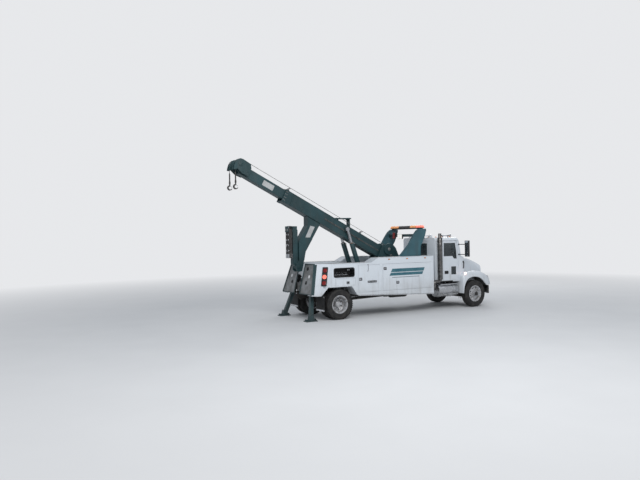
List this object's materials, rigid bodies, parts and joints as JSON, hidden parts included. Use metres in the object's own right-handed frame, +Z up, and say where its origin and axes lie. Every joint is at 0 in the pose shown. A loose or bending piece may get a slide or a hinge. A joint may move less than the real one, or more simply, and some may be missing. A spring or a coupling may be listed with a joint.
{
  "type": "tow truck",
  "caption": "Heavy tow truck with a conventional cab, a raised telescopic boom on a body mast, a folded underlift, tool boxes and splayed tail spades.",
  "frame": {"origin": "middle of the overall box, on the ground", "axes": "+X towards the front bumper, +Y towards the truck's left, +Z up"},
  "size_m": [10.2738, 2.76, 5.2797],
  "materials": {
    "frame_black": "satin black paint",
    "engine_grey": "cast",
    "body_white": "gloss white paint",
    "boom_green": "gloss dark green paint",
    "worn_steel": "worn",
    "rod_chrome": "polished",
    "tank_aluminium": "polished",
    "tyre_rubber": "matt",
    "flap_rubber": "matt",
    "wheel_silver": "painted silver",
    "dark_plastic": "grained",
    "lamp_lens": "clear moulded lens",
    "seat_cloth": "woven"
  },
  "bodies": {
    "chassis": {"frame_rails": "frame_black", "rear_axle": "frame_black", "drive_shaft": "frame_black", "engine_block": "engine_grey", "front_axle": "frame_black", "leaf_springs": "frame_black", "cab_shell": "body_white", "seats": "seat_cloth", "dashboard": "dark_plastic", "fuel_tanks": "tank_aluminium", "exhaust_stack": "rod_chrome", "front_bumper": "dark_plastic", "body_box_right": "body_white", "body_box_left": "body_white", "tail_panels": "body_white", "mudflaps": "flap_rubber", "deck": "frame_black", "mast": "boom_green", "winches": "worn_steel", "light_pylons": "boom_green", "light_bar": "lamp_lens", "spade_sleeves": "frame_black", "mirror_right": "dark_plastic", "mirror_left": "dark_plastic"},
    "hood": {"hood_shell": "body_white", "grille": "rod_chrome", "headlamps": "lamp_lens"},
    "boom": {"boom_outer": "boom_green", "knee_arm": "boom_green"},
    "boom_extension": {"boom_inner": "boom_green", "boom_head": "boom_green"},
    "lift_barrels": {"lift_barrels": "boom_green"},
    "lift_rods": {"lift_rods": "rod_chrome"},
    "stinger": {"stinger_outer": "boom_green"},
    "stinger_extension": {"stinger_inner": "boom_green"},
    "crossbar_arm_right": {"crossbar_arm_right": "worn_steel"},
    "hook_right": {"hook_right": "worn_steel"},
    "cab_door_right": {"cab_door_right": "body_white"},
    "mid_door_right": {"mid_door_right": "body_white"},
    "front_door_right": {"front_door_right": "body_white"},
    "control_flap_right": {"control_flap_right": "body_white"},
    "knuckle_right": {"knuckle_right": "frame_black"},
    "front_wheel_right": {"front_tyre_right": "tyre_rubber", "front_rim_right": "wheel_silver"},
    "rear_wheels_right": {"rear_tyres_right": "tyre_rubber", "rear_rims_right": "wheel_silver"},
    "spade_right": {"spade_right": "boom_green"},
    "crossbar_arm_left": {"crossbar_arm_left": "worn_steel"},
    "hook_left": {"hook_left": "worn_steel"},
    "cab_door_left": {"cab_door_left": "body_white"},
    "mid_door_left": {"mid_door_left": "body_white"},
    "front_door_left": {"front_door_left": "body_white"},
    "control_flap_left": {"control_flap_left": "body_white"},
    "knuckle_left": {"knuckle_left": "frame_black"},
    "front_wheel_left": {"front_tyre_left": "tyre_rubber", "front_rim_left": "wheel_silver"},
    "rear_wheels_left": {"rear_tyres_left": "tyre_rubber", "rear_rims_left": "wheel_silver"},
    "spade_left": {"spade_left": "boom_green"}
  },
  "joints": [
    {"name": "hood_tilt", "type": "hinge", "parent": "chassis", "child": "hood", "pos_m": [5.0669, 0, 0.83], "axis": [0, 1, 0], "range_deg": [0, 60]},
    {"name": "boom_lift", "type": "hinge", "parent": "chassis", "child": "boom", "pos_m": [0.8469, 0, 2.26], "axis": [0, 1, 0], "range_deg": [-15, 23]},
    {"name": "boom_extend", "type": "slide", "parent": "boom", "child": "boom_extension", "axis": [-0.8894, 0, 0.4571], "range_m": [-1.4, 0.8]},
    {"name": "lift_barrel_swing", "type": "hinge", "parent": "chassis", "child": "lift_barrels", "pos_m": [-0.3931, 0, 1.46], "axis": [0, 1, 0], "range_deg": [-11.75, 17.91]},
    {"name": "lift_rod_slide", "type": "slide", "parent": "lift_barrels", "child": "lift_rods", "axis": [-0.3199, 0, 0.9474], "range_m": [-0.3741, 0.571]},
    {"name": "stinger_fold", "type": "hinge", "parent": "boom", "child": "stinger", "pos_m": [-2.7881, 0, 1.74], "axis": [0, -1, 0], "range_deg": [0, 95]},
    {"name": "stinger_extend", "type": "slide", "parent": "stinger", "child": "stinger_extension", "axis": [0, 0, 1], "range_m": [0, 0.45]},
    {"name": "crossbar_arm_fold_right", "type": "hinge", "parent": "stinger_extension", "child": "crossbar_arm_right", "pos_m": [-3.0631, -0.07, 3], "axis": [-1, 0, 0], "range_deg": [0, 90]},
    {"name": "hook_swing_right", "type": "hinge", "parent": "boom_extension", "child": "hook_right", "pos_m": [-4.86859, -0.255, 5.10742], "axis": [0, 1, 0], "range_deg": [-23.2, 15.2]},
    {"name": "cab_door_swing_right", "type": "hinge", "parent": "chassis", "child": "cab_door_right", "pos_m": [3.5899, -0.9523, 1.5], "axis": [0, 0, 1], "range_deg": [0, 70]},
    {"name": "mid_door_swing_right", "type": "hinge", "parent": "chassis", "child": "mid_door_right", "pos_m": [-0.1794, -1.22, 1.3], "axis": [0, 0, 1], "range_deg": [0, 100]},
    {"name": "front_door_swing_right", "type": "hinge", "parent": "chassis", "child": "front_door_right", "pos_m": [2.0606, -1.22, 1.3], "axis": [0, 0, 1], "range_deg": [0, 100]},
    {"name": "control_flap_drop_right", "type": "hinge", "parent": "chassis", "child": "control_flap_right", "pos_m": [-1.6031, -1.22, 1.1163], "axis": [1, 0, 0], "range_deg": [0, 90]},
    {"name": "steer_right", "type": "hinge", "parent": "chassis", "child": "knuckle_right", "pos_m": [4.2299, -0.86, 0.505], "axis": [0, 0, 1], "range_deg": [-32, 32]},
    {"name": "front_wheel_spin_right", "type": "hinge", "parent": "knuckle_right", "child": "front_wheel_right", "pos_m": [4.2299, -1.045, 0.505], "axis": [0, 1, 0], "continuous": true},
    {"name": "rear_wheels_spin_right", "type": "hinge", "parent": "chassis", "child": "rear_wheels_right", "pos_m": [-1.8131, -0.905, 0.505], "axis": [0, 1, 0], "continuous": true},
    {"name": "spade_raise_right", "type": "slide", "parent": "chassis", "child": "spade_right", "axis": [0.2233, 0.335, 0.9154], "range_m": [0, 0.3]},
    {"name": "crossbar_arm_fold_left", "type": "hinge", "parent": "stinger_extension", "child": "crossbar_arm_left", "pos_m": [-3.0631, 0.07, 3], "axis": [1, 0, 0], "range_deg": [0, 90]},
    {"name": "hook_swing_left", "type": "hinge", "parent": "boom_extension", "child": "hook_left", "pos_m": [-4.86859, 0.255, 5.10742], "axis": [0, 1, 0], "range_deg": [-23.2, 15.2]},
    {"name": "cab_door_swing_left", "type": "hinge", "parent": "chassis", "child": "cab_door_left", "pos_m": [3.5899, 0.9523, 1.5], "axis": [0, 0, -1], "range_deg": [0, 70]},
    {"name": "mid_door_swing_left", "type": "hinge", "parent": "chassis", "child": "mid_door_left", "pos_m": [-0.1794, 1.22, 1.3], "axis": [0, 0, -1], "range_deg": [0, 100]},
    {"name": "front_door_swing_left", "type": "hinge", "parent": "chassis", "child": "front_door_left", "pos_m": [2.0606, 1.22, 1.3], "axis": [0, 0, -1], "range_deg": [0, 100]},
    {"name": "control_flap_drop_left", "type": "hinge", "parent": "chassis", "child": "control_flap_left", "pos_m": [-1.6031, 1.22, 1.1163], "axis": [-1, 0, 0], "range_deg": [0, 90]},
    {"name": "steer_left", "type": "hinge", "parent": "chassis", "child": "knuckle_left", "pos_m": [4.2299, 0.86, 0.505], "axis": [0, 0, 1], "range_deg": [-32.2, 32.2]},
    {"name": "front_wheel_spin_left", "type": "hinge", "parent": "knuckle_left", "child": "front_wheel_left", "pos_m": [4.2299, 1.045, 0.505], "axis": [0, 1, 0], "continuous": true},
    {"name": "rear_wheels_spin_left", "type": "hinge", "parent": "chassis", "child": "rear_wheels_left", "pos_m": [-1.8131, 0.905, 0.505], "axis": [0, 1, 0], "continuous": true},
    {"name": "spade_raise_left", "type": "slide", "parent": "chassis", "child": "spade_left", "axis": [0.2233, -0.335, 0.9154], "range_m": [0, 0.3]}
  ],
  "couplings": [
    {"joint": "lift_barrel_swing", "follows": "boom_lift", "ratio": 0.77},
    {"joint": "lift_rod_slide", "follows": "boom_lift", "m_per_rad": 1.41},
    {"joint": "hook_swing_right", "follows": "boom_lift", "ratio": -1},
    {"joint": "hook_swing_left", "follows": "boom_lift", "ratio": -1},
    {"joint": "steer_left", "follows": "steer_right", "ratio": 1}
  ]
}
